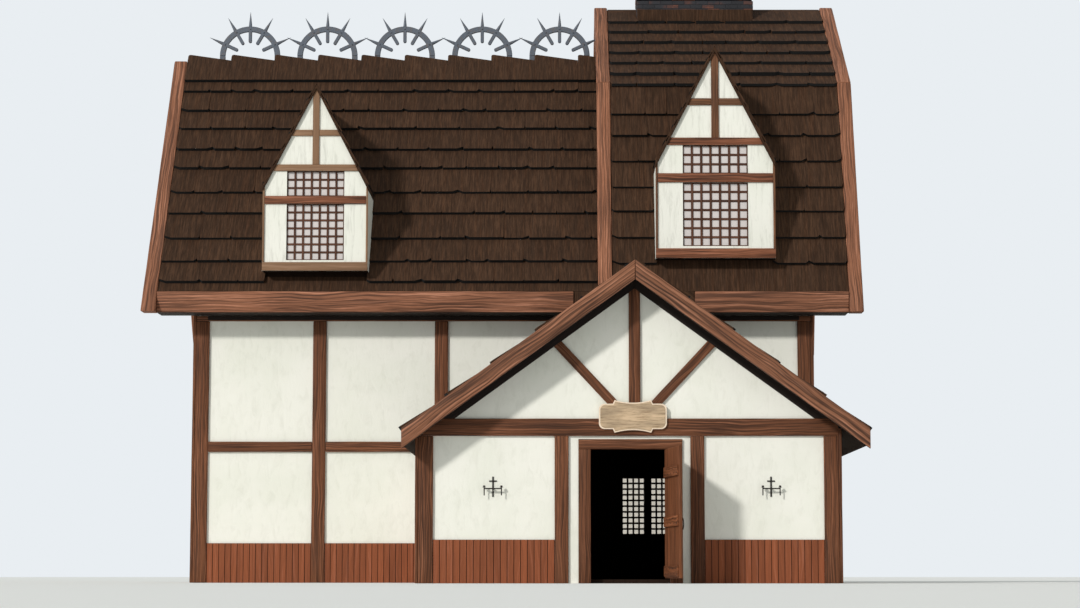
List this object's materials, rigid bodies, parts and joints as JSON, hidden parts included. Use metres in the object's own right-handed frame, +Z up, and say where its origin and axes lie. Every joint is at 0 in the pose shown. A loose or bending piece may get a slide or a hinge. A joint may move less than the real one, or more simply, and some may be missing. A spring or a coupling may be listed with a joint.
{
  "type": "half timbered house",
  "caption": "Half timbered house: shingled wing and taller gambrel roofed block, dormers, gabled front wing with a hinged plank door, iron ridge cresting, brick chimney",
  "frame": {"origin": "on the ground, half way along the main body between its two end walls and half way through the depth of the right block", "axes": "X to the right seen from the front, Y from the front to the back, Z up"},
  "size_m": [12.44, 13.1939, 12.43],
  "materials": {
    "plaster": "hand-floated lime plaster, matt, faint trowel marks",
    "timber": "stained rough-sawn timber, strong grain along its length",
    "wainscot": "red-brown upright boards, matt",
    "door": "stained planks, matt",
    "floor": "worn floor boards",
    "shingle": "dark weathered wood shingles with upright streaks",
    "iron": "black forged iron",
    "crest_iron": "grey weathered iron",
    "pane": "pale glass behind a wood lattice",
    "plaque": "painted board with a paler rim",
    "brick": "sooted brick"
  },
  "bodies": {
    "house": {"ground_floor": "floor", "left_attic_floor": "floor", "block_attic_floor": "floor", "front_wall": "plaster", "left_end_wall": "plaster", "right_end_wall": "plaster", "rear_wall_left": "plaster", "rear_wall_right": "plaster", "inner_corner_wall": "plaster", "cross_gable_wall": "plaster", "wing_front_walls": "plaster", "wing_gable_wall": "plaster", "wing_side_walls": "plaster", "front_timbers": "timber", "end_timbers": "timber", "rear_timbers": "timber", "wing_timbers": "timber", "wainscot": "wainscot", "door_frame": "timber", "hinge_pins": "iron", "left_roof_front": "shingle", "left_roof_rear": "shingle", "block_roof_front_lower": "shingle", "block_roof_front_upper": "shingle", "block_roof_rear_lower": "shingle", "block_roof_rear_upper": "shingle", "wing_roof_left": "shingle", "wing_roof_right": "shingle", "eaves": "timber", "valley_apron": "shingle", "verge_timbers": "timber", "wing_barge_boards": "timber", "ridge_comb": "shingle", "ridge_cresting": "crest_iron", "left_dormer_walls": "plaster", "right_dormer_walls": "plaster", "dormer_roofs": "shingle", "dormer_trims": "timber", "window_panes": "pane", "sign_plaque": "plaque", "wall_sconces": "iron", "chimney": "brick"},
    "door": {"door_leaf": "door", "strap_hinges": "iron", "door_ring": "iron"}
  },
  "joints": [
    {"name": "door_hinge", "type": "hinge", "parent": "house", "child": "door", "pos_m": [2.7145, -7.674, 0], "axis": [0, 0, 1], "range_deg": [-98, 8]}
  ]
}
